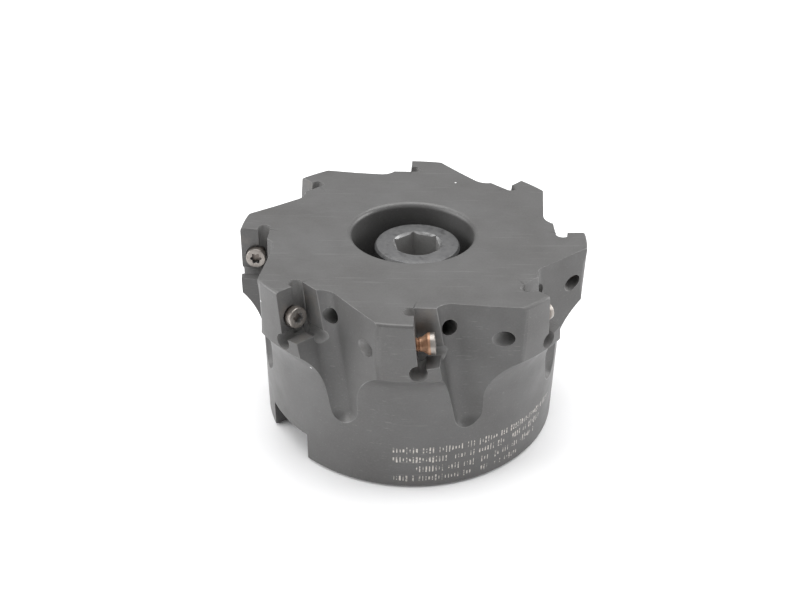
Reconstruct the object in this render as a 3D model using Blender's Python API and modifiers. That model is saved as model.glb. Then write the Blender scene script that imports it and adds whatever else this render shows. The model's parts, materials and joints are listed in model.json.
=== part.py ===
"""Shell-type face mill: an eight-tooth cutter body, its insert screws and its lock screw.

The cutter stands on its back face with the cutting end up, and its axis is the Z axis.
A tooth is drawn once in its own frame: +X runs outwards from the cutter's axis, +Y points away
from the insert seat into the chip gullet, and +Z runs up to the cutting end. The whole set of
cuts is then turned about Z for every tooth.
"""
import bpy
import bmesh
from math import atan2, cos, hypot, pi, radians, sin, sqrt, tan
from mathutils import Matrix, Vector

MM = 0.001

# Driving dimensions of the cutter body
TEETH = 8
FIRST_TOOTH = radians(-90.0)
BODY_HEIGHT = 44.45 * MM
TOOTH_RADIUS = 38.1 * MM
FLARE_OUT = 4.1 * MM
LAND_HEIGHT = 13.0 * MM
FLARE_HEIGHT = 9.4 * MM
TOP_CREASE_INSET = 4.6 * MM
FACE_DISH = 0.15 * MM
BACK_CHAMFER = 0.6 * MM

# Bore, web and counterbore
BORE_RADIUS = 15.875 * MM
BORE_CHAMFER = 0.8 * MM
WEB_THICKNESS = 8.0 * MM
COUNTERBORE_RADIUS = 13.5 * MM
COUNTERBORE_DEPTH = 16.15 * MM
RIM_RADIUS = 1.2 * MM

# Drive slots across the back face
SLOT_DIRECTION = radians(36.0)
SLOT_WIDTH = 14.3 * MM
SLOT_DEPTH = 7.14 * MM
SLOT_CHAMFER = 0.6 * MM

# Chip gullets
GULLET_DEPTH = 8.4 * MM
GULLET_HEIGHT = 30.4 * MM
GULLET_START = 9.9 * MM
GULLET_FILLET = 3.6 * MM
GULLET_SLOPE = radians(6.6)
GULLET_LEAN = radians(10.5)

# Insert seats
SEAT_START = 1.1 * MM
POCKET_DEPTH = 6.6 * MM
POCKET_HEIGHT = 10.15 * MM
AXIAL_RAKE = radians(6.0)
RADIAL_RAKE = radians(1.0)
SEAT_RELIEF_RADIUS = 1.8 * MM
WALL_RELIEF_RADIUS = 1.4 * MM
RELIEF_START = 0.2 * MM

# Coolant holes
COOLANT_RADIUS = 1.65 * MM
COOLANT_DROP = 5.7 * MM
COOLANT_OFFSET = 7.0 * MM
COOLANT_RISE = radians(25.0)

# Insert screws, which all have the same size
SHANK_RADIUS = 1.45 * MM
SHANK_LENGTH = 6.0 * MM
HEAD_RADIUS = 2.2 * MM
HEAD_RIM = 1.5 * MM
HEAD_CONE = 1.0 * MM
HEAD_ROUND = 0.2 * MM
LOBE_OUTER = 1.3 * MM
LOBE_INNER = 0.95 * MM
LOBE_DEPTH = 1.1 * MM
SCREW_RISE = 3.7 * MM
SCREW_INSET = 3.4 * MM
SCREW_BACKED_OUT = [2.2, 1.6, 0.3, 0.9, 0.2, 0.5, 0.2, 0.1]

# Lock screw
LOCK_HEAD_RADIUS = 9.525 * MM
LOCK_HEAD_HEIGHT = 12.7 * MM
LOCK_HEAD_CHAMFER = 0.6 * MM
LOCK_SHANK_RADIUS = 6.35 * MM
LOCK_TIP_HEIGHT = 3.2 * MM
LOCK_TIP_CHAMFER = 1.0 * MM
HEX_ACROSS = 9.525 * MM
HEX_DEPTH = 6.4 * MM
HEX_CHAMFER = 0.45 * MM
HEX_TURN = radians(10.0)

# Clearances
CLEARANCE = 0.3 * MM
LOCK_HOLE_CLEARANCE = 1.4 * MM
THROUGH = 2.0 * MM

# Facets
TURN_STEPS = 72
LOCK_STEPS = 40
SCREW_STEPS = 18
HOLE_STEPS = 16
LOBE_POINTS = 24
FILLET_SEGMENTS = 4

# Sizes that follow from the driving dimensions
HUB_RADIUS = TOOTH_RADIUS - FLARE_OUT
LAND_FOOT = BODY_HEIGHT - LAND_HEIGHT
FLARE_FOOT = LAND_FOOT - FLARE_HEIGHT
WEB_TOP = BODY_HEIGHT - COUNTERBORE_DEPTH
WEB_FOOT = WEB_TOP - WEB_THICKNESS
WEB_HOLE_RADIUS = LOCK_SHANK_RADIUS + LOCK_HOLE_CLEARANCE
LOCK_OFFSET = LOCK_HOLE_CLEARANCE - CLEARANCE
LOCK_SHANK_LENGTH = WEB_TOP + CLEARANCE - LOCK_TIP_HEIGHT
GULLET_FLOOR = TOOTH_RADIUS - GULLET_DEPTH
GULLET_FOOT = BODY_HEIGHT - GULLET_HEIGHT
POCKET_WALL = TOOTH_RADIUS - POCKET_DEPTH
POCKET_FLOOR = BODY_HEIGHT - POCKET_HEIGHT
SCREW_HOLE_RADIUS = SHANK_RADIUS + CLEARANCE
SEAT_MOUTH_RADIUS = HEAD_RADIUS + CLEARANCE
PITCH = 2 * pi / TEETH


def arc(centre_x, centre_z, radius, start, end, segments):
    """Points on a circular arc in the XZ plane, both ends included; angles in degrees."""
    points = []
    for step in range(segments + 1):
        angle = radians(start + (end - start) * step / segments)
        points.append((centre_x + radius * cos(angle), centre_z + radius * sin(angle)))
    return points


def new_collection(name):
    collection = bpy.data.collections.new(name)
    bpy.context.scene.collection.children.link(collection)
    return collection


def new_material(name, colour, roughness, metallic):
    material = bpy.data.materials.new(name)
    material.use_nodes = True
    shader = material.node_tree.nodes["Principled BSDF"]
    shader.inputs["Base Color"].default_value = (*colour, 1.0)
    shader.inputs["Roughness"].default_value = roughness
    shader.inputs["Metallic"].default_value = metallic
    return material


def new_object(name, mesh, collection):
    item = bpy.data.objects.new(name, mesh)
    collection.objects.link(item)
    return item


def mesh_from_bmesh(name, shape):
    mesh = bpy.data.meshes.new(name)
    bmesh.ops.recalc_face_normals(shape, faces=shape.faces[:])
    shape.to_mesh(mesh)
    shape.free()
    return mesh


def mark_cutter(item):
    item.hide_render = True
    item.display_type = "WIRE"
    return item


def turned_piece(name, profile, closed, steps, collection):
    """Turn a profile, listed down its outer side, about the Z axis."""
    mesh = bpy.data.meshes.new(name)
    edges = [(index, index + 1) for index in range(len(profile) - 1)]
    if closed:
        edges.append((len(profile) - 1, 0))
    mesh.from_pydata([(x, 0.0, z) for x, z in profile], edges, [])
    item = new_object(name, mesh, collection)
    screw = item.modifiers.new("turn", "SCREW")
    screw.axis = "Z"
    screw.angle = 2 * pi
    screw.steps = steps
    screw.render_steps = steps
    screw.use_merge_vertices = True
    screw.merge_threshold = 0.00001
    return item


def corner_box(name, size, fillet, collection):
    """A box with one corner at its origin, and a fillet on the three edges that meet there."""
    shape = bmesh.new()
    bmesh.ops.create_cube(shape, size=1.0)
    bmesh.ops.translate(shape, vec=(0.5, 0.5, 0.5), verts=shape.verts[:])
    bmesh.ops.scale(shape, vec=size, verts=shape.verts[:])
    if fillet > 0:
        corner = min(shape.verts, key=lambda vert: vert.co.length)
        bmesh.ops.bevel(
            shape, geom=corner.link_edges[:], offset=fillet, affect="EDGES",
            segments=FILLET_SEGMENTS, profile=0.5, material=-1,
        )
    return mark_cutter(new_object(name, mesh_from_bmesh(name, shape), collection))


def cone_cutter(name, foot_radius, top_radius, length, steps, collection):
    """A cone or cylinder that runs from its origin along its own +Z."""
    shape = bmesh.new()
    bmesh.ops.create_cone(
        shape, cap_ends=True, segments=steps, radius1=foot_radius, radius2=top_radius, depth=length,
    )
    bmesh.ops.translate(shape, vec=(0, 0, length / 2), verts=shape.verts[:])
    return mark_cutter(new_object(name, mesh_from_bmesh(name, shape), collection))


def subtract(item, cutter):
    cut = item.modifiers.new("cut " + cutter.name, "BOOLEAN")
    cut.operation = "DIFFERENCE"
    cut.solver = "EXACT"
    cut.object = cutter


def turn(angle, axis):
    return Matrix.Rotation(angle, 4, axis)


def place(x, y, z):
    return Matrix.Translation((x, y, z))


def tooth_azimuth(tooth):
    return FIRST_TOOTH + PITCH * tooth


def leaning(slope, lean):
    """Turn the tangential direction outwards by slope, and lean the top back by lean."""
    return turn(-slope, "Z") @ turn(lean, "X")


def seat_frame():
    """The insert seat: +Y is its normal, and its origin is its inner lower corner."""
    return place(POCKET_WALL, SEAT_START, POCKET_FLOOR) @ leaning(RADIAL_RAKE, AXIAL_RAKE)


def screw_frame():
    """The threaded hole's mouth on the seat, with +Z along the screw's axis, out of the seat."""
    inward = POCKET_DEPTH - SCREW_INSET
    return seat_frame() @ place(inward, 0, SCREW_RISE) @ turn(-pi / 2, "X")


def land_angle():
    """Angle about the axis from a seat back to the foot of the same tooth's trailing flank."""
    slope = tan(GULLET_SLOPE)
    offset = GULLET_FLOOR - slope * COOLANT_OFFSET
    run = (sqrt((slope * offset) ** 2 - (1 + slope ** 2) * (offset ** 2 - TOOTH_RADIUS ** 2))
           - slope * offset) / (1 + slope ** 2)
    return PITCH - atan2(run, offset + slope * run)


def body_profile():
    """The body's turned section, from the counterbore's rim outwards, down, and up the bore."""
    flare_radius = (FLARE_HEIGHT ** 2 + FLARE_OUT ** 2) / (2 * FLARE_OUT)
    flare_end = 180 - atan2(FLARE_HEIGHT, flare_radius - FLARE_OUT) * 180 / pi
    top = BODY_HEIGHT - FACE_DISH
    profile = arc(COUNTERBORE_RADIUS + RIM_RADIUS, top - RIM_RADIUS, RIM_RADIUS, 180, 90, 3)
    profile.append((TOOTH_RADIUS - TOP_CREASE_INSET, top))
    profile.append((TOOTH_RADIUS, BODY_HEIGHT))
    profile += arc(HUB_RADIUS + flare_radius, FLARE_FOOT, flare_radius, flare_end, 180, 5)
    profile.append((HUB_RADIUS, BACK_CHAMFER))
    profile.append((HUB_RADIUS - BACK_CHAMFER, 0))
    profile.append((BORE_RADIUS + BORE_CHAMFER, 0))
    profile.append((BORE_RADIUS, BORE_CHAMFER))
    profile.append((BORE_RADIUS, WEB_FOOT))
    profile.append((WEB_HOLE_RADIUS, WEB_FOOT))
    profile.append((WEB_HOLE_RADIUS, WEB_TOP))
    profile.append((COUNTERBORE_RADIUS, WEB_TOP))
    return profile


def gullet_cutter(tooth, cutters):
    size = (GULLET_DEPTH + THROUGH, 2 * TOOTH_RADIUS * sin(PITCH / 2), GULLET_HEIGHT + GULLET_DEPTH)
    cutter = corner_box("gullet_%d" % tooth, size, GULLET_FILLET, cutters)
    floor = GULLET_FLOOR + tan(GULLET_SLOPE) * (GULLET_START - COOLANT_OFFSET)
    cutter.matrix_world = (turn(tooth_azimuth(tooth), "Z") @ place(floor, GULLET_START, GULLET_FOOT)
                           @ leaning(GULLET_SLOPE, GULLET_LEAN))
    return cutter


def pocket_cutter(tooth, cutters):
    size = (POCKET_DEPTH + THROUGH, GULLET_START, POCKET_HEIGHT + THROUGH)
    cutter = corner_box("pocket_%d" % tooth, size, 0, cutters)
    cutter.matrix_world = turn(tooth_azimuth(tooth), "Z") @ seat_frame()
    return cutter


def half_facet():
    """Half a facet's turn, so that no corner of a drilling's facets lies on the faces it meets."""
    return turn(pi / HOLE_STEPS, "Z")


def seat_relief_cutter(tooth, cutters):
    """A drilling along the corner between the seat and the pocket floor, out to the rim."""
    radius = SEAT_RELIEF_RADIUS
    cutter = cone_cutter("seat_relief_%d" % tooth, radius, radius, POCKET_DEPTH + THROUGH,
                         HOLE_STEPS, cutters)
    cutter.matrix_world = (turn(tooth_azimuth(tooth), "Z") @ seat_frame()
                           @ place(-RELIEF_START, 0, -radius / 2) @ turn(pi / 2, "Y") @ half_facet())
    return cutter


def floor_relief_cutter(tooth, cutters):
    """A drilling along the corner between the pocket floor and its inner wall."""
    radius = WALL_RELIEF_RADIUS
    cutter = cone_cutter("floor_relief_%d" % tooth, radius, radius, GULLET_START,
                         HOLE_STEPS, cutters)
    cutter.matrix_world = (turn(tooth_azimuth(tooth), "Z") @ seat_frame()
                           @ place(radius / 2, -RELIEF_START, -radius / 3) @ turn(-pi / 2, "X")
                           @ half_facet())
    return cutter


def wall_relief_cutter(tooth, cutters):
    """A drilling down the corner between the seat and the inner wall, open at the top face."""
    radius = WALL_RELIEF_RADIUS
    cutter = cone_cutter("wall_relief_%d" % tooth, radius, radius, POCKET_HEIGHT + 2 * THROUGH,
                         HOLE_STEPS, cutters)
    cutter.matrix_world = (turn(tooth_azimuth(tooth), "Z") @ seat_frame()
                           @ place(radius, -radius / 2, -radius) @ half_facet())
    return cutter


def screw_hole_cutter(tooth, cutters):
    """The insert screw's hole: a countersink at the seat, then out through the trailing flank."""
    length = TOOTH_RADIUS * sin(land_angle()) + GULLET_DEPTH
    widening = (SEAT_MOUTH_RADIUS - SCREW_HOLE_RADIUS) / HEAD_CONE
    above = THROUGH / 2
    profile = [
        (0, above),
        (SEAT_MOUTH_RADIUS + widening * above, above),
        (SCREW_HOLE_RADIUS, -HEAD_CONE),
        (SCREW_HOLE_RADIUS, -length),
        (0, -length),
    ]
    cutter = mark_cutter(turned_piece("screw_hole_%d" % tooth, profile, False, HOLE_STEPS, cutters))
    cutter.matrix_world = turn(tooth_azimuth(tooth), "Z") @ screw_frame() @ half_facet()
    return cutter


def coolant_cutter(tooth, cutters):
    """The coolant hole, which rises from the counterbore to the gullet's inner corner."""
    out = hypot(COOLANT_OFFSET, GULLET_FLOOR)
    reach = out - COUNTERBORE_RADIUS
    height = BODY_HEIGHT - COOLANT_DROP
    radius = COOLANT_RADIUS
    length = (reach + 2 * THROUGH) / cos(COOLANT_RISE)
    cutter = cone_cutter("coolant_%d" % tooth, radius, radius, length, HOLE_STEPS, cutters)
    start = height - (reach + THROUGH) * tan(COOLANT_RISE)
    azimuth = tooth_azimuth(tooth) + atan2(COOLANT_OFFSET, GULLET_FLOOR)
    cutter.matrix_world = (turn(azimuth, "Z") @ place(COUNTERBORE_RADIUS - THROUGH, 0, start)
                           @ turn(pi / 2 - COOLANT_RISE, "Y"))
    return cutter


def slot_cutter(cutters):
    """A bar across the back face, with a flared mouth, that cuts both drive slots."""
    half = SLOT_WIDTH / 2
    mouth = half + SLOT_CHAMFER
    section = bmesh.new()
    outline = [(-half, SLOT_DEPTH), (-half, SLOT_CHAMFER), (-mouth - THROUGH, -THROUGH),
               (mouth + THROUGH, -THROUGH), (half, SLOT_CHAMFER), (half, SLOT_DEPTH)]
    reach = HUB_RADIUS + THROUGH
    face = section.faces.new([section.verts.new((-reach, y, z)) for y, z in outline])
    swept = bmesh.ops.extrude_face_region(section, geom=[face])
    moved = [item for item in swept["geom"] if isinstance(item, bmesh.types.BMVert)]
    bmesh.ops.translate(section, vec=(2 * reach, 0, 0), verts=moved)
    cutter = mark_cutter(new_object("drive_slots", mesh_from_bmesh("drive_slots", section), cutters))
    cutter.rotation_euler.z = SLOT_DIRECTION
    return cutter


def cutter_body(parts, cutters):
    body = turned_piece("cutter_body", body_profile(), True, TURN_STEPS, parts)
    subtract(body, slot_cutter(cutters))
    makers = [gullet_cutter, pocket_cutter, seat_relief_cutter, floor_relief_cutter,
              wall_relief_cutter, screw_hole_cutter, coolant_cutter]
    for tooth in range(TEETH):
        for make in makers:
            subtract(body, make(tooth, cutters))
    return body


def lock_screw(parts, cutters):
    """A socket head cap screw that hangs by its head on the web, a little off centre."""
    top = LOCK_HEAD_HEIGHT
    tip = LOCK_SHANK_RADIUS - LOCK_TIP_CHAMFER
    profile = [
        (0, top),
        (LOCK_HEAD_RADIUS - LOCK_HEAD_CHAMFER, top),
        (LOCK_HEAD_RADIUS, top - LOCK_HEAD_CHAMFER),
        (LOCK_HEAD_RADIUS, 0),
        (LOCK_SHANK_RADIUS, 0),
        (LOCK_SHANK_RADIUS, LOCK_TIP_CHAMFER - LOCK_SHANK_LENGTH),
        (tip, -LOCK_SHANK_LENGTH),
        (0, -LOCK_SHANK_LENGTH),
    ]
    screw = turned_piece("lock_screw", profile, False, LOCK_STEPS, parts)
    corner = HEX_ACROSS / 2 / cos(pi / 6)
    place_screw = place(LOCK_OFFSET, 0, WEB_TOP + CLEARANCE)
    socket = cone_cutter("hex_socket", corner, corner, HEX_DEPTH + THROUGH, 6, cutters)
    socket.matrix_world = place_screw @ place(0, 0, top - HEX_DEPTH) @ turn(HEX_TURN, "Z")
    depth = HEX_CHAMFER + THROUGH
    mouth = cone_cutter("hex_mouth", corner - HEX_CHAMFER, corner + THROUGH, depth, LOCK_STEPS, cutters)
    mouth.matrix_world = place_screw @ place(0, 0, top - HEX_CHAMFER)
    screw.matrix_world = place_screw
    subtract(screw, socket)
    subtract(screw, mouth)
    return screw


def lobed_socket():
    """A six-lobed key socket, as a prism that runs down from the head's face."""
    shape = bmesh.new()
    bmesh.ops.create_cone(shape, cap_ends=True, segments=LOBE_POINTS, radius1=1, radius2=1,
                          depth=LOBE_DEPTH + THROUGH)
    bmesh.ops.translate(shape, vec=(0, 0, (THROUGH - LOBE_DEPTH) / 2), verts=shape.verts[:])
    for vert in shape.verts:
        angle = atan2(vert.co.y, vert.co.x)
        radius = (LOBE_OUTER + LOBE_INNER) / 2 + (LOBE_OUTER - LOBE_INNER) / 2 * cos(6 * angle)
        vert.co.x = radius * cos(angle)
        vert.co.y = radius * sin(angle)
    return mesh_from_bmesh("lobed_socket", shape)


def insert_screw(tooth, socket_mesh, parts, cutters):
    """One insert screw; its origin is on its axis, where the head's cone meets its rim."""
    profile = [
        (0, HEAD_RIM),
        (HEAD_RADIUS - HEAD_ROUND, HEAD_RIM),
        (HEAD_RADIUS, HEAD_RIM - HEAD_ROUND),
        (HEAD_RADIUS, 0),
        (SHANK_RADIUS, -HEAD_CONE),
        (SHANK_RADIUS, -HEAD_CONE - SHANK_LENGTH + HEAD_ROUND),
        (SHANK_RADIUS - HEAD_ROUND, -HEAD_CONE - SHANK_LENGTH),
        (0, -HEAD_CONE - SHANK_LENGTH),
    ]
    screw = turned_piece("insert_screw_%d" % (tooth + 1), profile, False, SCREW_STEPS, parts)
    socket = mark_cutter(new_object("screw_socket_%d" % (tooth + 1), socket_mesh, cutters))
    backed_out = SCREW_BACKED_OUT[tooth] * MM
    screw.matrix_world = (turn(tooth_azimuth(tooth), "Z") @ screw_frame()
                          @ place(0, 0, backed_out))
    socket.matrix_world = screw.matrix_world @ place(0, 0, HEAD_RIM)
    subtract(screw, socket)
    return screw


def finish(item, material):
    item.data.materials.append(material)
    item.data.shade_smooth()
    item.data.set_sharp_from_angle(angle=radians(30))


def main():
    for item in list(bpy.data.objects):
        bpy.data.objects.remove(item)
    parts = new_collection("face_mill")
    cutters = new_collection("face_mill_cutters")
    black_steel = new_material("black_oxide_steel", (0.19, 0.19, 0.195), 0.42, 0.85)
    grey_steel = new_material("grey_alloy_steel", (0.22, 0.22, 0.225), 0.38, 0.9)
    bright_steel = new_material("bright_screw_steel", (0.5, 0.48, 0.46), 0.3, 1.0)
    finish(cutter_body(parts, cutters), black_steel)
    finish(lock_screw(parts, cutters), grey_steel)
    socket_mesh = lobed_socket()
    for tooth in range(TEETH):
        finish(insert_screw(tooth, socket_mesh, parts, cutters), bright_steel)


main()
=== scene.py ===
# %% [markdown]
# # A face mill, finished for a close look
#
# A face mill is a short, heavy steel cutter that screws onto an arbor and flattens the top of a
# block of metal. This lesson takes the plain working model of one, keeps its size and its joints,
# and makes each piece again with the fine shapes that a machinist would notice: broken edges,
# threads, a knurled screw head, drilled reliefs and a satin black oxide skin.

# %% Load the frame
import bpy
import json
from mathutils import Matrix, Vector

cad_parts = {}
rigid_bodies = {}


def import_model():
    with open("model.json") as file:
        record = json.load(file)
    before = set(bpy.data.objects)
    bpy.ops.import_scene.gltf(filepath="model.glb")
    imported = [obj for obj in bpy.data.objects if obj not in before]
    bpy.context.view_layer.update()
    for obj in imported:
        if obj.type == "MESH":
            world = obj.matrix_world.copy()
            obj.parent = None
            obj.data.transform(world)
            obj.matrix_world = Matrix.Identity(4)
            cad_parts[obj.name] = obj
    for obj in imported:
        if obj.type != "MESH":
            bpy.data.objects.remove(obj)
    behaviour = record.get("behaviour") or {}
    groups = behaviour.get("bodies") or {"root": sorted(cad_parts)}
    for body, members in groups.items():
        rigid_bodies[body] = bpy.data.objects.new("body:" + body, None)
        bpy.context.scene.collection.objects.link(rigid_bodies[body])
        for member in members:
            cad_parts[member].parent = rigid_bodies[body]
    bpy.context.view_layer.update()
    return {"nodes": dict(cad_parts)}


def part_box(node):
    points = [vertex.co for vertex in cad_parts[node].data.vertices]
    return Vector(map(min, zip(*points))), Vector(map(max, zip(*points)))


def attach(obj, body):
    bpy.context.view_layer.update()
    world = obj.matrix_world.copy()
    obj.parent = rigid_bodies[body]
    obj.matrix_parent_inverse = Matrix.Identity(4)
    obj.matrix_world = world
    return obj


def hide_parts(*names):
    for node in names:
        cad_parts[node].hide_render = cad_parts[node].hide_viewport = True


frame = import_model()
print("nodes in the frame:", len(frame["nodes"]))

# %% [markdown]
# ## Tools and units
#
# Blender works in metres, so one named value turns the millimetres of a machine drawing into
# metres. A few short helpers say what happens again and again: make a mesh an object, turn
# something about an axis, or move it.

# %% Imports and small helpers
import json
from math import atan2, cos, hypot, pi, radians, sin, tan

import bmesh
import bpy
from mathutils import Matrix, Vector

MM = 0.001


def turn(angle, axis):
    return Matrix.Rotation(angle, 4, axis)


def place(x, y, z):
    return Matrix.Translation((x, y, z))


def add_piece(name, shape, materials=()):
    """Turn a finished bmesh into an object of the scene; its place stays in its mesh."""
    mesh = bpy.data.meshes.new(name)
    shape.to_mesh(mesh)
    shape.free()
    for material in materials:
        mesh.materials.append(material)
    piece = bpy.data.objects.new(name, mesh)
    bpy.context.scene.collection.objects.link(piece)
    return piece


def settle_modifiers(piece):
    """Make the piece's mesh what its modifiers show, and take the modifiers off."""
    graph = bpy.context.evaluated_depsgraph_get()
    mesh = bpy.data.meshes.new_from_object(piece.evaluated_get(graph), depsgraph=graph)
    piece.modifiers.clear()
    piece.data = mesh


# %% [markdown]
# ## Sizes
#
# The overall sizes come from the frame, so the fine model always fits the working one. The sizes
# of the cuts repeat those of the working model. A tooth is laid out once, in its own frame: X runs
# outwards from the cutter's axis, Y points from the insert seat into the chip gullet, Z runs up.

# %% Sizes of the cutter body
body_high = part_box("cutter_body")[1]
TEETH = sum(name.startswith("insert_screw_") for name in frame["nodes"])
BODY_HEIGHT = body_high.z
TOOTH_RADIUS = 38.1 * MM
HUB_RADIUS = TOOTH_RADIUS - 4.1 * MM
FACE_HEIGHT = BODY_HEIGHT - 0.15 * MM
LAND_FOOT = BODY_HEIGHT - 13.0 * MM
FLARE_FOOT = LAND_FOOT - 9.4 * MM
BORE_RADIUS = 15.875 * MM
WEB_TOP = BODY_HEIGHT - 16.15 * MM
WEB_FOOT = WEB_TOP - 8.0 * MM
WEB_HOLE_RADIUS = 7.75 * MM
COUNTERBORE_RADIUS = 13.5 * MM
FIRST_TOOTH = radians(-90.0)
PITCH = 2 * pi / TEETH
print("teeth:", TEETH, " height: %.2f mm" % (BODY_HEIGHT / MM))

# %% Sizes of the gullets, seats and holes
GULLET_DEPTH = 8.4 * MM
GULLET_FLOOR = TOOTH_RADIUS - GULLET_DEPTH
GULLET_FOOT = BODY_HEIGHT - 30.4 * MM
GULLET_START = 9.9 * MM
GULLET_FILLET = 3.6 * MM
GULLET_SLOPE = radians(6.6)
GULLET_LEAN = radians(10.5)
SEAT_START = 1.1 * MM
POCKET_DEPTH = 6.6 * MM
POCKET_WALL = TOOTH_RADIUS - POCKET_DEPTH
POCKET_HEIGHT = 10.15 * MM
POCKET_FLOOR = BODY_HEIGHT - POCKET_HEIGHT
AXIAL_RAKE = radians(6.0)
RADIAL_RAKE = radians(1.0)
COOLANT_RADIUS = 1.65 * MM
COOLANT_OFFSET = 7.0 * MM
COOLANT_DROP = 5.7 * MM
COOLANT_RISE = radians(25.0)
PAST = 2.0 * MM

# %% [markdown]
# ## Finishes first
#
# On a machined part the finish belongs to the operation: a turned face, a milled gullet, a
# drilled hole and a worn edge look different although they are the same steel. So every
# operation gets its own material, and a Boolean cut hands the cutter's material to the faces
# that it makes. The helpers below keep the node trees short.


# %% Node helpers
def node(tree, kind, values=(), **settings):
    """Add a node, set its properties, then its input sockets by name or number."""
    made = tree.nodes.new(kind)
    for name, value in settings.items():
        setattr(made, name, value)
    for socket, value in dict(values).items():
        if isinstance(value, bpy.types.NodeSocket):
            tree.links.new(value, made.inputs[socket])
        else:
            made.inputs[socket].default_value = value
    return made


def math_node(tree, operation, first, second=0.5, third=None):
    values = {0: first, 1: second}
    if third is not None:
        values[2] = third
    return node(tree, "ShaderNodeMath", values, operation=operation).outputs[0]


def mixed(tree, factor, first, second):
    """Mix two colours, each a socket or an RGBA tuple."""
    mix = tree.nodes.new("ShaderNodeMix")
    mix.data_type = "RGBA"
    for socket, value in ((mix.inputs[0], factor), (mix.inputs[6], first), (mix.inputs[7], second)):
        if isinstance(value, bpy.types.NodeSocket):
            tree.links.new(value, socket)
        else:
            socket.default_value = value
    return mix.outputs[2]


def ranged(tree, value, low, high, to_low=0.0, to_high=1.0):
    """Map a value's range low..high onto to_low..to_high, and clamp it there."""
    made = node(tree, "ShaderNodeMapRange", {0: value, 1: low, 2: high, 3: to_low, 4: to_high})
    return made.outputs[0]


def grey(value, warmth=0.0):
    return (value * (1 + warmth), value, value * (1 - warmth), 1.0)


def noise(tree, where, scale, detail=3.0, roughness=0.55):
    made = node(tree, "ShaderNodeTexNoise",
                {"Vector": where, "Scale": scale, "Detail": detail, "Roughness": roughness})
    return made.outputs["Fac"]


def new_finish(name, metallic):
    """A material with an empty Principled shader and the object's own coordinates."""
    material = bpy.data.materials.new(name)
    material.use_nodes = True
    tree = material.node_tree
    shader = tree.nodes["Principled BSDF"]
    shader.inputs["Metallic"].default_value = metallic
    where = tree.nodes.new("ShaderNodeTexCoord").outputs["Object"]
    return material, tree, shader, where


# %% [markdown]
# ## Black oxide on steel
#
# Black oxide is a skin only a micron thick. It looks dark grey and satin, it is never quite even,
# and handling leaves fine scratches and pinpricks of bare steel. Three layers make it: a slow
# mottle, a fine grain that also feeds the bump, and long thin scratches, which are noise that has
# been squeezed in one direction and cut off high up.


# %% The oxide layers
def scratches(tree, where, angle, length_scale, width_scale, threshold):
    """Long thin marks in one direction, as a 0..1 mask."""
    turned = node(tree, "ShaderNodeMapping", {
        "Vector": where, "Rotation": angle, "Scale": (length_scale, width_scale, width_scale),
    }).outputs[0]
    return ranged(tree, noise(tree, turned, 1.0, 2.0), threshold, threshold + 0.05)


def pinpricks(tree, where, cells_per_metre, radius, share):
    """Round specks in a few random cells of a Voronoi pattern, as a 0..1 mask."""
    cells = node(tree, "ShaderNodeTexVoronoi", {"Vector": where, "Scale": cells_per_metre})
    near = ranged(tree, cells.outputs["Distance"], radius, radius * 0.6)
    pick = node(tree, "ShaderNodeSeparateColor", {0: cells.outputs["Color"]}).outputs[0]
    chosen = math_node(tree, "LESS_THAN", pick, share)
    return math_node(tree, "MULTIPLY", near, chosen)


def oxide_finish(name, dark, light, rough_low, rough_high, metallic=0.35, grain_bump=0.25):
    """Mottled, grained and scratched oxide; returns what later layers build on."""
    material, tree, shader, where = new_finish(name, metallic)
    mottle = ranged(tree, noise(tree, where, 70.0, 4.0), 0.3, 0.7)
    colour = mixed(tree, mottle, grey(dark, 0.022), grey(light, 0.008))
    grain = noise(tree, where, 2600.0, 2.0)
    colour = mixed(tree, ranged(tree, grain, 0.35, 0.75, 0.0, 0.22), colour, grey(light * 1.35))
    marks = scratches(tree, where, (0.4, 0.2, 0.5), 60.0, 2600.0, 0.66)
    more = scratches(tree, where, (1.1, 0.7, -0.8), 45.0, 3000.0, 0.68)
    marks = math_node(tree, "MAXIMUM", marks, more)
    worn = math_node(tree, "MULTIPLY", marks, 0.2)
    colour = mixed(tree, worn, colour, grey(0.3, 0.01))
    rough = ranged(tree, noise(tree, where, 160.0, 4.0), 0.3, 0.7, rough_low, rough_high)
    tree.links.new(rough, shader.inputs["Roughness"])
    bump = node(tree, "ShaderNodeBump", {"Strength": grain_bump, "Distance": 0.00002, "Height": grain})
    tree.links.new(bump.outputs[0], shader.inputs["Normal"])
    tree.links.new(colour, shader.inputs["Base Color"])
    return material, tree, shader, where, colour


def recolour(tree, shader, colour):
    """Let a later layer take over the base colour."""
    tree.links.new(colour, shader.inputs["Base Color"])


# %% [markdown]
# ## The turned skin and its etched record
#
# The outside of the blank is turned, so it has pinpricks of bare steel and, low on the hub, a
# record that the maker etches with a laser. Here the record is only rows of plain ticks. The
# rows are drawn from two numbers that belong to the surface: the angle round the axis, and the
# height. Each row is cut into cells, and white noise decides each cell's tick.

# %% Turned finish with etched ticks
ETCH_ROWS = [(10.4, -97.0, -24.0), (7.9, -97.0, -30.0), (5.3, -88.0, -36.0), (2.7, -96.0, -46.0)]
ETCH_CELL = 0.7 * MM
ETCH_HEIGHT = 0.95 * MM


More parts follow.
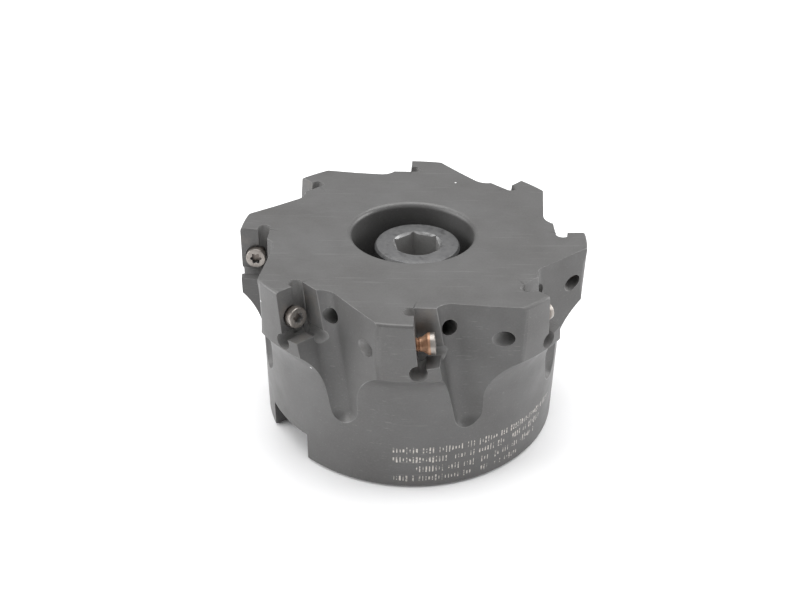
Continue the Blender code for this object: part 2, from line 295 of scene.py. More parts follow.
def etched_row(tree, angle, height, row, row_height, first, last):
    """One row of ticks: a 0..1 mask."""
    run = math_node(tree, "MULTIPLY", angle, HUB_RADIUS / ETCH_CELL)
    cell = math_node(tree, "FLOOR", run)
    across = math_node(tree, "FRACT", run)
    draw = node(tree, "ShaderNodeTexWhiteNoise", {"W": math_node(tree, "ADD", cell, row * 97.3)},
                noise_dimensions="1D")
    parts = node(tree, "ShaderNodeSeparateColor", {0: draw.outputs["Color"]})
    wide = ranged(tree, parts.outputs[0], 0.0, 1.0, 0.2, 0.55)
    inside = math_node(tree, "LESS_THAN", math_node(tree, "ABSOLUTE", math_node(
        tree, "SUBTRACT", across, 0.5)), math_node(tree, "MULTIPLY", wide, 0.5))
    shown = math_node(tree, "GREATER_THAN", parts.outputs[1], 0.17)
    reach = ranged(tree, parts.outputs[2], 0.0, 1.0, ETCH_HEIGHT * 0.35, ETCH_HEIGHT)
    from_middle = math_node(tree, "ABSOLUTE", math_node(tree, "SUBTRACT", height, row_height))
    tall = math_node(tree, "LESS_THAN", from_middle, reach)
    after = math_node(tree, "GREATER_THAN", angle, first)
    before = math_node(tree, "LESS_THAN", angle, last)
    mask = inside
    for part in (shown, tall, after, before):
        mask = math_node(tree, "MULTIPLY", mask, part)
    return mask


def turned_finish():
    material, tree, shader, where, colour = oxide_finish(
        "turned_black_oxide", 0.098, 0.122, 0.36, 0.5)
    specks = pinpricks(tree, where, 95.0, 0.028, 0.16)
    colour = mixed(tree, specks, colour, grey(0.85))
    axes = node(tree, "ShaderNodeSeparateXYZ", {0: where}).outputs
    angle = math_node(tree, "ARCTAN2", axes[1], axes[0])
    radius = math_node(tree, "SQRT", math_node(tree, "ADD", math_node(
        tree, "MULTIPLY", axes[0], axes[0]), math_node(tree, "MULTIPLY", axes[1], axes[1])))
    on_hub = math_node(tree, "GREATER_THAN", radius, HUB_RADIUS - 0.3 * MM)
    etched = 0.0
    for row, (height, first, last) in enumerate(ETCH_ROWS):
        mask = etched_row(tree, angle, axes[2], row, height * MM, radians(first), radians(last))
        etched = mask if row == 0 else math_node(tree, "MAXIMUM", etched, mask)
    etched = math_node(tree, "MULTIPLY", etched, on_hub)
    fade = ranged(tree, noise(tree, where, 1500.0, 1.0), 0.36, 0.56, 0.1, 0.95)
    colour = mixed(tree, math_node(tree, "MULTIPLY", etched, fade), colour, grey(0.56, 0.07))
    recolour(tree, shader, colour)
    return material


turned_steel = turned_finish()
print("finish:", turned_steel.name)


# %% [markdown]
# ## Milled, drilled and worn finishes
#
# A milled gullet is a little darker and rougher than the turned skin. The holes are rougher still
# and less metallic, and a lighter grey: painted light that lifts the shade on their walls. A
# broken edge rubs against everything, so some bare steel shows through its oxide in patches; its
# lighter grey is partly that wear and partly a painted highlight along the edge.

# %% The other body finishes
def milled_finish():
    material, tree, shader, where, colour = oxide_finish(
        "milled_black_oxide", 0.088, 0.11, 0.4, 0.55)
    return material


def seat_finish():
    """The seat is ground, and the inserts have polished and stained it."""
    material, tree, shader, where, colour = oxide_finish(
        "ground_seat", 0.09, 0.14, 0.34, 0.48)
    stain = ranged(tree, noise(tree, where, 330.0, 3.0), 0.5, 0.7, 0.0, 0.35)
    recolour(tree, shader, mixed(tree, stain, colour, grey(0.17, 0.14)))
    return material


def drilled_finish_painted_light():
    # Painted light: this grey is lighter than the oxide outside, to lift the shade inside holes, reliefs
    # and screw sockets.
    material, tree, shader, where, colour = oxide_finish(
        "drilled_hole_painted_light", 0.17, 0.24, 0.45, 0.6, metallic=0.1)
    return material


def edge_wear_and_highlight_finish():
    # Partly real wear and partly painted highlight: the lighter grey and its lighter patches stand in for
    # the highlight that a broken edge catches.
    material, tree, shader, where, colour = oxide_finish(
        "worn_edge_and_highlight", 0.11, 0.145, 0.34, 0.46, metallic=0.45)
    wear_and_highlight = ranged(tree, noise(tree, where, 240.0, 3.0), 0.45, 0.65, 0.0, 0.6)
    recolour(tree, shader, mixed(tree, wear_and_highlight, colour, grey(0.26, 0.01)))
    return material


milled_steel = milled_finish()
seat_steel = seat_finish()
drilled_steel_painted_light = drilled_finish_painted_light()
edge_wear_and_highlight_steel = edge_wear_and_highlight_finish()

# %% [markdown]
# ## The turned blank
#
# On a lathe the body starts as a profile, turned about its axis. The same thing happens here:
# the section is drawn as a closed loop of points, joined by edges, and `bmesh.ops.spin` sweeps it
# round. Arcs in the section are computed, so the flare and the rim stay smooth.


# %% Profile helpers
def arc(centre_x, centre_z, radius, start, end, segments):
    """Points on an arc in the XZ plane, both ends included; angles in degrees."""
    steps = [start + (end - start) * step / segments for step in range(segments + 1)]
    return [(centre_x + radius * cos(radians(a)), centre_z + radius * sin(radians(a))) for a in steps]


def run(start, end, pieces):
    """Points along a straight run, without its end."""
    return [(start[0] + (end[0] - start[0]) * step / pieces,
             start[1] + (end[1] - start[1]) * step / pieces) for step in range(pieces)]


def spun(profile, steps, closed=True):
    """Spin a section in the XZ plane about Z into a closed bmesh."""
    shape = bmesh.new()
    verts = [shape.verts.new((x, 0, z)) for x, z in profile]
    for first, second in zip(verts, verts[1:]):
        shape.edges.new((first, second))
    if closed:
        shape.edges.new((verts[-1], verts[0]))
    bmesh.ops.spin(shape, geom=shape.verts[:] + shape.edges[:], cent=(0, 0, 0), axis=(0, 0, 1),
                   angle=2 * pi, steps=steps, use_merge=True)
    bmesh.ops.remove_doubles(shape, verts=shape.verts[:], dist=0.5e-6)
    bmesh.ops.recalc_face_normals(shape, faces=shape.faces[:])
    return shape


# %% Section of the blank
def blank_section():
    flare_out = TOOTH_RADIUS - HUB_RADIUS
    flare_rise = LAND_FOOT - FLARE_FOOT
    flare_radius = (flare_rise ** 2 + flare_out ** 2) / (2 * flare_out)
    flare_end = 180 - atan2(flare_rise, flare_radius - flare_out) * 180 / pi
    rim, tip, chamfer, bore_chamfer, lip = (size * MM for size in (1.2, 0.7, 0.6, 0.8, 0.4))
    crease = TOOTH_RADIUS - 4.6 * MM
    section = arc(COUNTERBORE_RADIUS + rim, FACE_HEIGHT - rim, rim, 180, 90, 8)
    section += run((COUNTERBORE_RADIUS + rim, FACE_HEIGHT), (crease, FACE_HEIGHT), 4)[1:]
    section.append((crease, FACE_HEIGHT))
    section += arc(TOOTH_RADIUS - tip, BODY_HEIGHT - tip, tip, 90, 0, 5)
    section += run((TOOTH_RADIUS, BODY_HEIGHT - tip), (TOOTH_RADIUS, LAND_FOOT), 4)[1:]
    section += arc(HUB_RADIUS + flare_radius, FLARE_FOOT, flare_radius, flare_end, 180, 22)
    section += run((HUB_RADIUS, FLARE_FOOT), (HUB_RADIUS, chamfer), 8)[1:]
    section += [(HUB_RADIUS, chamfer), (HUB_RADIUS - chamfer, 0), (BORE_RADIUS + bore_chamfer, 0)]
    section += run((BORE_RADIUS, bore_chamfer), (BORE_RADIUS, WEB_FOOT - 2 * lip), 5)
    section += arc(BORE_RADIUS - 2 * lip, WEB_FOOT - 2 * lip, 2 * lip, 0, 90, 4)
    section += [(WEB_HOLE_RADIUS + lip, WEB_FOOT), (WEB_HOLE_RADIUS, WEB_FOOT + lip)]
    section += [(WEB_HOLE_RADIUS, WEB_TOP - lip), (WEB_HOLE_RADIUS + lip, WEB_TOP)]
    section += arc(COUNTERBORE_RADIUS - lip, WEB_TOP + lip, lip, -90, 0, 4)
    section += run((COUNTERBORE_RADIUS, WEB_TOP + lip), (COUNTERBORE_RADIUS, FACE_HEIGHT - rim), 4)[1:]
    return section


TURN_STEPS = 240
body = add_piece("cutter_body_fine", spun(blank_section(), TURN_STEPS), [turned_steel])
print("blank:", len(body.data.polygons), "faces")

# %% [markdown]
# ## Cuts that repeat round the body
#
# A dividing head turns the blank by one tooth and the same cutters go in again. In the model one
# set of cutters is made for one tooth, and `bmesh.ops.spin` with `use_duplicate` copies it round
# the axis. Each kind of cutter then takes part in a single Boolean, which is quicker and cleaner
# than one Boolean for each tooth.


# %% Cutter helpers
def leaning(slope, lean):
    """Turn the tangential direction outwards by slope, and lean the top back by lean."""
    return turn(-slope, "Z") @ turn(lean, "X")


def corner_box(size, fillet, where):
    """A box that starts at a corner, with a fillet on the three edges that meet there."""
    shape = bmesh.new()
    bmesh.ops.create_cube(shape, size=1.0)
    bmesh.ops.translate(shape, vec=(0.5, 0.5, 0.5), verts=shape.verts[:])
    bmesh.ops.scale(shape, vec=size, verts=shape.verts[:])
    corner = min(shape.verts, key=lambda vert: vert.co.length)
    if fillet > 0:
        bmesh.ops.bevel(shape, geom=corner.link_edges[:], offset=fillet, affect="EDGES",
                        segments=10, profile=0.5, material=-1)
    bmesh.ops.transform(shape, matrix=where, verts=shape.verts[:])
    return shape


def drill(radius, length, where, point=0.0, steps=32):
    """A drill that runs from its origin along +Z, with an optional cone-shaped point behind."""
    profile = [(0, 0), (radius, point), (radius, length), (0, length)]
    shape = spun(profile, steps, closed=False)
    bmesh.ops.transform(shape, matrix=where, verts=shape.verts[:])
    return shape


def round_the_axis(shape):
    """Copy one tooth's cutter to every other tooth."""
    bmesh.ops.transform(shape, matrix=turn(FIRST_TOOTH, "Z"), verts=shape.verts[:])
    bmesh.ops.spin(shape, geom=shape.verts[:] + shape.edges[:] + shape.faces[:], cent=(0, 0, 0),
                   axis=(0, 0, 1), angle=PITCH * (TEETH - 1), steps=TEETH - 1, use_duplicate=True)
    bmesh.ops.recalc_face_normals(shape, faces=shape.faces[:])
    return shape


def cut(piece, shape, material):
    """Take the cutter's volume off the piece; the new faces get the cutter's material."""
    cutter = add_piece("cutter", shape, [material])
    boolean = piece.modifiers.new("cut", "BOOLEAN")
    boolean.operation = "DIFFERENCE"
    boolean.solver = "EXACT"
    boolean.material_mode = "TRANSFER"
    boolean.object = cutter
    settle_modifiers(piece)
    bpy.data.objects.remove(cutter)


# %% [markdown]
# ## Drive slots
#
# The arbor drives the cutter by two keys in slots across the back face. One bar with flared
# feet cuts both slots at once.

# %% Cut the drive slots
SLOT_DIRECTION = radians(36.0)
SLOT_HALF = 7.15 * MM
SLOT_DEPTH = 7.14 * MM
SLOT_CHAMFER = 0.6 * MM


def slot_bar():
    outline = [(-SLOT_HALF, SLOT_DEPTH), (-SLOT_HALF, SLOT_CHAMFER),
               (-SLOT_HALF - SLOT_CHAMFER - PAST, -PAST), (SLOT_HALF + SLOT_CHAMFER + PAST, -PAST),
               (SLOT_HALF, SLOT_CHAMFER), (SLOT_HALF, SLOT_DEPTH)]
    shape = bmesh.new()
    face = shape.faces.new([shape.verts.new((-TOOTH_RADIUS, y, z)) for y, z in outline])
    swept = bmesh.ops.extrude_face_region(shape, geom=[face])["geom"]
    moved = [item for item in swept if isinstance(item, bmesh.types.BMVert)]
    bmesh.ops.translate(shape, vec=(2 * TOOTH_RADIUS, 0, 0), verts=moved)
    bmesh.ops.rotate(shape, cent=(0, 0, 0), matrix=turn(SLOT_DIRECTION, "Z"), verts=shape.verts[:])
    bmesh.ops.recalc_face_normals(shape, faces=shape.faces[:])
    return shape


cut(body, slot_bar(), milled_steel)
print("drive slots cut:", len(body.data.polygons), "faces")

# %% [markdown]
# ## Chip gullets and insert pockets
#
# A gullet is the path of a round-nosed end mill that comes in from the cutting end and runs
# out near the hub, so its three inner edges have the tool's radius. The insert pocket in front of
# it is square, and small drillings relieve its three inner corners, because a sharp insert can't
# sit in a rounded corner.

# %% Cut the gullets and pockets
gullet_size = (GULLET_DEPTH + PAST, 2 * TOOTH_RADIUS * sin(PITCH / 2), BODY_HEIGHT)
gullet_inner = GULLET_FLOOR + tan(GULLET_SLOPE) * (GULLET_START - COOLANT_OFFSET)
gullet_place = place(gullet_inner, GULLET_START, GULLET_FOOT) @ leaning(GULLET_SLOPE, GULLET_LEAN)
cut(body, round_the_axis(corner_box(gullet_size, GULLET_FILLET, gullet_place)), milled_steel)

seat_frame = place(POCKET_WALL, SEAT_START, POCKET_FLOOR) @ leaning(RADIAL_RAKE, AXIAL_RAKE)
pocket_size = (POCKET_DEPTH + PAST, GULLET_START, POCKET_HEIGHT + PAST)
cut(body, round_the_axis(corner_box(pocket_size, 0.0, seat_frame)), seat_steel)
print("gullets and pockets cut:", len(body.data.polygons), "faces")

# %% Drill the corner reliefs
RELIEF_START = 0.2 * MM
SEAT_RELIEF_RADIUS = 1.8 * MM
WALL_RELIEF_RADIUS = 1.4 * MM
half_facet = turn(pi / 32, "Z")
seat_relief = drill(SEAT_RELIEF_RADIUS, POCKET_DEPTH + PAST,
                    seat_frame @ place(-RELIEF_START, 0, -SEAT_RELIEF_RADIUS / 2) @ turn(pi / 2, "Y")
                    @ half_facet)
cut(body, round_the_axis(seat_relief), drilled_steel_painted_light)
floor_relief = drill(WALL_RELIEF_RADIUS, GULLET_START,
                     seat_frame @ place(0.7 * MM, -RELIEF_START, -0.47 * MM) @ turn(-pi / 2, "X")
                     @ half_facet)
cut(body, round_the_axis(floor_relief), drilled_steel_painted_light)
wall_relief = drill(WALL_RELIEF_RADIUS, POCKET_HEIGHT + 2 * PAST,
                    seat_frame @ place(1.4 * MM, -0.7 * MM, -1.4 * MM) @ half_facet)
cut(body, round_the_axis(wall_relief), drilled_steel_painted_light)
print("reliefs drilled:", len(body.data.polygons), "faces")

# %% [markdown]
# ## Screw holes and coolant holes
#
# Each insert screw goes into a threaded hole that runs square to the seat and out through the
# back of the tooth. The hole starts with a countersink. The coolant hole rises from the
# counterbore to the gullet's inner corner, where it washes the insert.

# %% Drill the holes
SCREW_INSET = 3.4 * MM
SCREW_RISE = 3.7 * MM
screw_frame = seat_frame @ place(POCKET_DEPTH - SCREW_INSET, 0, SCREW_RISE) @ turn(-pi / 2, "X")
HOLE_RADIUS = 1.75 * MM
HOLE_LENGTH = 18.0 * MM
MOUTH_RADIUS = 2.5 * MM
HEAD_CONE = 1.0 * MM


def screw_hole():
    above = 1.0 * MM
    outer = MOUTH_RADIUS + (MOUTH_RADIUS - HOLE_RADIUS) / HEAD_CONE * above
    profile = [(0, above), (outer, above), (HOLE_RADIUS, -HEAD_CONE), (HOLE_RADIUS, -HOLE_LENGTH),
               (0, -HOLE_LENGTH)]
    shape = spun(profile, 32, closed=False)
    bmesh.ops.transform(shape, matrix=screw_frame @ half_facet, verts=shape.verts[:])
    return shape


def coolant_hole():
    reach = hypot(COOLANT_OFFSET, GULLET_FLOOR) - COUNTERBORE_RADIUS
    start = BODY_HEIGHT - COOLANT_DROP - (reach + PAST) * tan(COOLANT_RISE)
    where = (turn(atan2(COOLANT_OFFSET, GULLET_FLOOR), "Z")
             @ place(COUNTERBORE_RADIUS - PAST, 0, start) @ turn(pi / 2 - COOLANT_RISE, "Y"))
    return drill(COOLANT_RADIUS, (reach + 2 * PAST) / cos(COOLANT_RISE), where)


cut(body, round_the_axis(screw_hole()), drilled_steel_painted_light)
cut(body, round_the_axis(coolant_hole()), drilled_steel_painted_light)
print("holes drilled:", len(body.data.polygons), "faces")

# %% [markdown]
# ## Broken edges
#
# A sharp steel edge cuts the hand and chips the oxide, so every edge is broken with a fine
# chamfer. A Bevel modifier does that wherever two faces meet at more than its angle, and gives
# the new faces the worn finish, whose lighter grey is partly real wear and partly a painted highlight.

# %% Break the edges
body.data.materials.append(edge_wear_and_highlight_steel)
EDGE_SLOT = len(body.data.materials) - 1
for number, material in enumerate(body.data.materials):
    print(number, material.name)


def clean_up(piece, shortest):
    """Merge slivers that are too short for the chamfer to go round."""
    shape = bmesh.new()
    shape.from_mesh(piece.data)
    bmesh.ops.remove_doubles(shape, verts=shape.verts[:], dist=shortest)
    bmesh.ops.dissolve_degenerate(shape, edges=shape.edges[:], dist=shortest)
    shape.to_mesh(piece.data)
    shape.free()


HEEL_RADIUS = 1.1 * MM


def mark_heels(piece):
    """Give a bevel weight to the upright edges between a land and the gullet behind it."""
    shape = bmesh.new()
    shape.from_mesh(piece.data)
    weight = shape.edges.layers.float.new("bevel_weight_edge")
    marked = 0
    for edge in shape.edges:
        middle = (edge.verts[0].co + edge.verts[1].co) / 2
        along = edge.verts[1].co - edge.verts[0].co
        if along.length < 0.5 * MM or abs(along.z) < 0.9 * along.length or middle.z < LAND_FOOT - 0.5 * MM:
            continue
        if hypot(middle.x, middle.y) < TOOTH_RADIUS - 0.1 * MM or len(edge.link_faces) != 2:
            continue
        behind = (atan2(middle.y, middle.x) - FIRST_TOOTH) % PITCH
        if radians(30) < behind < radians(38) and edge.calc_face_angle() > radians(20):
            edge[weight] = 1.0
            marked += 1
    shape.to_mesh(piece.data)
    shape.free()
    print("heel edges:", marked)


clean_up(body, 0.02 * MM)
mark_heels(body)
heel = body.modifiers.new("round_heel", "BEVEL")
heel.width = HEEL_RADIUS
heel.segments = 5
heel.limit_method = "WEIGHT"
heel.use_clamp_overlap = False
settle_modifiers(body)
chamfer = body.modifiers.new("edge_break", "BEVEL")
chamfer.width = 0.09 * MM
chamfer.segments = 2
chamfer.limit_method = "ANGLE"
chamfer.angle_limit = radians(28)
chamfer.use_clamp_overlap = False
chamfer.material = EDGE_SLOT
chamfer.harden_normals = False
settle_modifiers(body)


def close_up(piece):
    """Fill the pinholes that a chamfer leaves where several tiny edges meet."""
    shape = bmesh.new()
    shape.from_mesh(piece.data)
    loose = [edge for edge in shape.edges if not edge.link_faces]
    bmesh.ops.delete(shape, geom=loose, context="EDGES")
    gaps = [edge for edge in shape.edges if len(edge.link_faces) == 1]
    bmesh.ops.holes_fill(shape, edges=gaps, sides=0)
    left = sum(len(edge.link_faces) != 2 for edge in shape.edges)
    shape.to_mesh(piece.data)
    shape.free()
    print("open edges:", len(gaps), "before,", left, "after")


close_up(body)
body.data.shade_smooth()
body.data.set_sharp_from_angle(angle=radians(32))
weighted = body.modifiers.new("even_shading", "WEIGHTED_NORMAL")
weighted.keep_sharp = True
print("body:", len(body.data.polygons), "faces")

# %% [markdown]
# ## Threads
#
# A thread is a ridge that climbs a core. `bmesh.ops.spin` makes one when it also moves by `dvec`
# at each step: the ridge's small section is spun several turns while it climbs one pitch a turn.
# Its ends are cut off square with a bisect plane, and it is turned down near the screw's tip. It
# goes on after the screw's Boolean cuts, as a second closed shell that overlaps the core.


# %% Thread helper
def add_thread(shape, core, crest, pitch, low, high, steps, nose):
    """Wind a closed ridge round a core from low to high; near the low end it is turned down."""
    ridge = bmesh.new()
    foot = core - 0.06 * pitch
    section = [(foot, -0.44 * pitch), (crest, -0.07 * pitch), (crest, 0.07 * pitch), (foot, 0.44 * pitch)]
    verts = [ridge.verts.new((x, 0, low - pitch + z)) for x, z in section]
    edges = [ridge.edges.new(pair) for pair in zip(verts, verts[1:] + verts[:1])]
    turns = int((high - low) / pitch) + 2
    bmesh.ops.spin(ridge, geom=verts + edges, cent=(0, 0, 0), axis=(0, 0, 1), angle=2 * pi * turns,
                   dvec=(0, 0, pitch / steps), steps=steps * turns)
    for height, side in ((low, -1), (high, 1)):
        bmesh.ops.bisect_plane(ridge, geom=ridge.verts[:] + ridge.edges[:] + ridge.faces[:],
                               plane_co=(0, 0, height), plane_no=(0, 0, side), clear_outer=True)
    open_edges = [edge for edge in ridge.edges if len(edge.link_faces) < 2]
    bmesh.ops.holes_fill(ridge, edges=open_edges, sides=0)
    for vert in ridge.verts:
        limit = crest - max(0.0, low + nose - vert.co.z)
        radius = hypot(vert.co.x, vert.co.y)
        if radius > limit:
            vert.co.x *= limit / radius
            vert.co.y *= limit / radius
    bmesh.ops.recalc_face_normals(ridge, faces=ridge.faces[:])
    mesh = bpy.data.meshes.new("ridge")
    ridge.to_mesh(mesh)
    ridge.free()
    shape.from_mesh(mesh)
    bpy.data.meshes.remove(mesh)


def wind_on(piece, thread):
    """Add a finished thread to a piece, after its cuts, as a second closed shell."""
    thread.from_mesh(piece.data)
    thread.to_mesh(piece.data)
    thread.free()


# %% [markdown]
# ## Screw steels
#
# The lock screw is alloy steel with a grey skin. The insert screws are brighter, their heads
# handled and a little brown. The first one also keeps, on its neck and thread, the
# copper-coloured grease that stops a thread from seizing.

# %% Screw finishes
def screw_finish(name, dark, light, metallic, rough):
    material, tree, shader, where = new_finish(name, metallic)
    mottle = ranged(tree, noise(tree, where, 900.0, 3.0), 0.3, 0.7)
    colour = mixed(tree, mottle, (*dark, 1), (*light, 1))
    dirt = ranged(tree, noise(tree, where, 500.0, 4.0), 0.56, 0.7, 0.0, 0.55)
    colour = mixed(tree, dirt, colour, tuple(0.35 * part for part in dark) + (1,))
    recolour(tree, shader, colour)
    roughness = ranged(tree, noise(tree, where, 700.0, 3.0), 0.3, 0.7, rough, rough + 0.16)
    tree.links.new(roughness, shader.inputs["Roughness"])
    bump = node(tree, "ShaderNodeBump", {"Strength": 0.3, "Distance": 0.00003,
                                         "Height": noise(tree, where, 1800.0, 2.0)})
    tree.links.new(bump.outputs[0], shader.inputs["Normal"])
    return material


lock_steel = screw_finish("grey_lock_screw", (0.105, 0.105, 0.108), (0.14, 0.14, 0.14), 0.4, 0.34)
lock_bright = screw_finish("worn_lock_screw", (0.22, 0.22, 0.22), (0.32, 0.32, 0.32), 0.8, 0.3)
head_steel = screw_finish("insert_screw_head", (0.26, 0.235, 0.215), (0.37, 0.345, 0.32), 0.85, 0.28)
grease = screw_finish("copper_grease", (0.25, 0.125, 0.07), (0.46, 0.27, 0.17), 0.5, 0.35)
thread_steel = screw_finish("insert_screw_thread", (0.15, 0.13, 0.115), (0.23, 0.2, 0.18), 0.7, 0.35)

# %% [markdown]
# ## The lock screw
#
# This is a standard socket head cap screw that holds the cutter on its arbor. Its head is
# knurled for the fingers, its hex socket has a broken, bright mouth, and it sits a little off
# centre in its clearance hole, as a loose screw does.

# %% Build the lock screw
lock_low, lock_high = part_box("lock_screw")
LOCK_RADIUS = (lock_high.x - lock_low.x) / 2
LOCK_CENTRE = (lock_high.x + lock_low.x) / 2
LOCK_HEAD = 12.7 * MM
LOCK_LENGTH = lock_high.z - lock_low.z - LOCK_HEAD
LOCK_CORE = 5.6 * MM
LOCK_CREST = 6.35 * MM
LOCK_NECK = 5.0 * MM
LOCK_PITCH = 1.27 * MM
HEX_DEPTH = 6.4 * MM
HEX_BREAK = 0.45 * MM
KNURLS = 60


def lock_screw_shape():
    top, edge, grip = LOCK_HEAD, 0.7 * MM, 1.2 * MM
    profile = [(0, top), (LOCK_RADIUS - edge - 0.1 * MM, top), (LOCK_RADIUS - edge * 0.55, top - 0.12 * MM),
               (LOCK_RADIUS, top - edge), (LOCK_RADIUS, top - grip), (LOCK_RADIUS, grip + 0.4 * MM),
               (LOCK_RADIUS, 0.5 * MM), (LOCK_RADIUS - 0.5 * MM, 0), (LOCK_CREST + 0.5 * MM, 0),
               (LOCK_CREST, -0.5 * MM), (LOCK_CREST, -LOCK_NECK), (LOCK_CORE, -LOCK_NECK - 0.6 * MM),
               (LOCK_CORE, 0.4 * MM - LOCK_LENGTH), (LOCK_CORE - 0.4 * MM, -LOCK_LENGTH), (0, -LOCK_LENGTH)]
    shape = spun(profile, KNURLS * 2, closed=False)
    for vert in shape.verts:
        if grip < vert.co.z < top - grip + 0.1 * MM:
            tooth = round(atan2(vert.co.y, vert.co.x) / (pi / KNURLS))
            if tooth % 2:
                vert.co.x *= 1 - 0.22 * MM / LOCK_RADIUS
                vert.co.y *= 1 - 0.22 * MM / LOCK_RADIUS
    bmesh.ops.transform(shape, matrix=place(LOCK_CENTRE, 0, lock_high.z - LOCK_HEAD), verts=shape.verts[:])
    return shape


lock = add_piece("lock_screw_fine", lock_screw_shape(), [lock_steel])
HEX_FLAT = 9.525 * MM / 2
HEX_CORNER = HEX_FLAT / cos(pi / 6)
hex_foot = lock_high.z - HEX_DEPTH
socket = bmesh.new()
bmesh.ops.create_cone(socket, cap_ends=True, segments=6, radius1=HEX_CORNER, radius2=HEX_CORNER,
                      depth=HEX_DEPTH + PAST)
bmesh.ops.transform(socket, matrix=place(LOCK_CENTRE, 0, hex_foot + (HEX_DEPTH + PAST) / 2)
                    @ turn(radians(10), "Z"), verts=socket.verts[:])
cut(lock, socket, drilled_steel_painted_light)
mouth = bmesh.new()
bmesh.ops.create_cone(mouth, cap_ends=True, segments=64, radius1=HEX_CORNER - HEX_BREAK,
                      radius2=HEX_CORNER + PAST, depth=PAST + HEX_BREAK)
bmesh.ops.transform(mouth, matrix=place(LOCK_CENTRE, 0, lock_high.z + (PAST - HEX_BREAK) / 2),
                    verts=mouth.verts[:])
cut(lock, mouth, lock_bright)
thread = bmesh.new()
add_thread(thread, LOCK_CORE, LOCK_CREST, LOCK_PITCH, -LOCK_LENGTH, -LOCK_NECK - 0.3 * MM, 48, 0.9 * MM)
bmesh.ops.transform(thread, matrix=place(LOCK_CENTRE, 0, lock_high.z - LOCK_HEAD), verts=thread.verts[:])
wind_on(lock, thread)
print("lock screw:", len(lock.data.polygons), "faces")

# %% [markdown]
# ## The insert screws
#
# One screw is made, with its six-lobed socket, and then copied into every seat. Each one is
# backed out by a different amount, because nobody tightened them after the inserts came off.

# %% Build the insert screws
BACKED_OUT = [2.2, 1.6, 0.3, 0.9, 0.2, 0.5, 0.2, 0.1]
HEAD_RADIUS = 2.2 * MM
HEAD_RIM = 1.5 * MM
LOBE_DEPTH = 1.1 * MM
SHANK_CREST = 1.45 * MM
SHANK_CORE = 1.18 * MM
SHANK_END = -HEAD_CONE - 6.0 * MM


def insert_screw_shape():
    rim, edge = HEAD_RIM, 0.2 * MM
    profile = [(0, rim)] + arc(HEAD_RADIUS - edge, rim - edge, edge, 90, 0, 4)
    profile += [(HEAD_RADIUS, 0.55 * MM), (HEAD_RADIUS, 0.08 * MM), (HEAD_RADIUS - 0.06 * MM, 0),
                (SHANK_CREST, -HEAD_CONE), (SHANK_CREST, -HEAD_CONE - 0.5 * MM),
                (SHANK_CORE, -HEAD_CONE - 0.8 * MM),
                (SHANK_CORE, SHANK_END + 0.2 * MM), (SHANK_CORE - 0.2 * MM, SHANK_END), (0, SHANK_END)]
    return spun(profile, 40, closed=False)


def six_lobes():
    shape = bmesh.new()
    bmesh.ops.create_cone(shape, cap_ends=True, segments=72, radius1=1, radius2=1, depth=LOBE_DEPTH + PAST)
    bmesh.ops.translate(shape, vec=(0, 0, HEAD_RIM + (PAST - LOBE_DEPTH) / 2), verts=shape.verts[:])
    for vert in shape.verts:
        angle = atan2(vert.co.y, vert.co.x)
        radius = (1.125 + 0.175 * cos(6 * angle)) * MM
        vert.co.x, vert.co.y = radius * cos(angle), radius * sin(angle)
    return shape


pattern = add_piece("insert_screw_pattern", insert_screw_shape(), [head_steel, thread_steel])
cut(pattern, six_lobes(), drilled_steel_painted_light)
clean_up(pattern, 0.005 * MM)
thread = bmesh.new()
add_thread(thread, SHANK_CORE, SHANK_CREST, 0.5 * MM, SHANK_END, -HEAD_CONE - 0.65 * MM, 24, 0.25 * MM)
wind_on(pattern, thread)
insert_screws = []
for number in range(TEETH):
    shape = bmesh.new()
    shape.from_mesh(pattern.data)
    for face in shape.faces:
        if face.calc_center_median().z < 0.5 * MM:
            face.material_index = 1
    where = (turn(FIRST_TOOTH + PITCH * number, "Z") @ screw_frame
             @ place(0, 0, BACKED_OUT[number] * MM) @ turn(0.7 * number, "Z"))
    bmesh.ops.transform(shape, matrix=where, verts=shape.verts[:])
    finishes = [head_steel, grease if number == 0 else thread_steel, drilled_steel_painted_light]
    screw = add_piece("insert_screw_%d_fine" % (number + 1), shape, finishes)
    screw.data.shade_smooth()
    screw.data.set_sharp_from_angle(angle=radians(35))
    insert_screws.append(screw)
bpy.data.objects.remove(pattern)
lock.data.shade_smooth()
lock.data.set_sharp_from_angle(angle=radians(32))
print("insert screws:", len(insert_screws), "of", len(insert_screws[0].data.polygons), "faces")

# %% [markdown]
# ## The floor, the light and the camera
#
# The cutter is shown as a product picture: on a pale sheet in a bright tent, seen from above
# at about a third of a right angle. The tent is a white world, with one large soft box overhead
# and a smaller one on each side, which give the edges a direction.

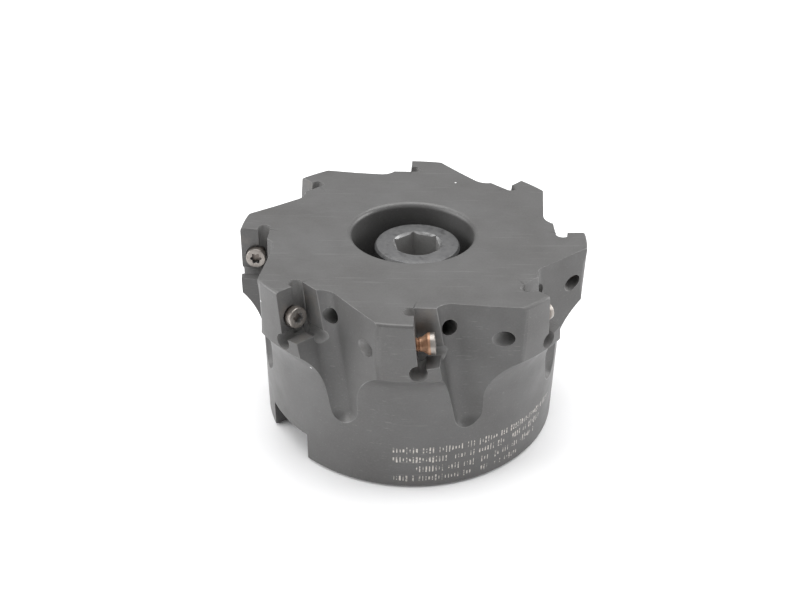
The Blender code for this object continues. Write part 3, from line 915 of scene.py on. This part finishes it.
# %% Floor and light
shape = bmesh.new()
bmesh.ops.create_grid(shape, x_segments=1, y_segments=1, size=3.0)
floor = add_piece("floor", shape)
paper = bpy.data.materials.new("paper")
paper.use_nodes = True
paper.node_tree.nodes["Principled BSDF"].inputs["Base Color"].default_value = (0.94, 0.94, 0.945, 1)
paper.node_tree.nodes["Principled BSDF"].inputs["Roughness"].default_value = 0.9
floor.data.materials.append(paper)

world = bpy.data.worlds.new("tent")
bpy.context.scene.world = world
world.use_nodes = True
world.node_tree.nodes["Background"].inputs["Color"].default_value = (1.0, 1.0, 1.0, 1)
world.node_tree.nodes["Background"].inputs["Strength"].default_value = 0.55


def soft_box(name, position, aim, width, height, power):
    lamp = bpy.data.lights.new(name, "AREA")
    lamp.shape = "RECTANGLE"
    lamp.size, lamp.size_y = width, height
    lamp.energy = power
    item = bpy.data.objects.new(name, lamp)
    item.location = position
    item.rotation_euler = (Vector(aim) - Vector(position)).to_track_quat("-Z", "Y").to_euler()
    bpy.context.scene.collection.objects.link(item)


soft_box("overhead_box", (0, 0.25, 1.3), (0, 0, 0), 1.6, 1.3, 20.0)
soft_box("left_box", (-1.1, -0.1, 0.45), (0, 0, 0), 1.0, 0.7, 8.5)
soft_box("right_box", (1.1, 0.3, 0.4), (0, 0, 0), 0.8, 0.6, 7.0)

# %% Camera
camera_data = bpy.data.cameras.new("camera")
camera = bpy.data.objects.new("camera", camera_data)
bpy.context.scene.collection.objects.link(camera)
bpy.context.scene.camera = camera
camera_data.sensor_width = 36.0
camera_data.lens = 42.44
camera_data.clip_start = 0.005
camera_data.clip_end = 20.0
camera.matrix_world = (place(-2.63 * MM, -184.14 * MM, 141.98 * MM)
                       @ turn(radians(90 - 32.14), "X") @ turn(radians(0.65), "Z"))
bpy.context.scene.view_settings.view_transform = "Standard"

# %% Join every piece to the frame
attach(body, "cutter")
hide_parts("cutter_body")
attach(lock, "lock_screw")
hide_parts("lock_screw")
for number, screw in enumerate(insert_screws, 1):
    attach(screw, "insert_screw_%d" % number)
    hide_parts("insert_screw_%d" % number)
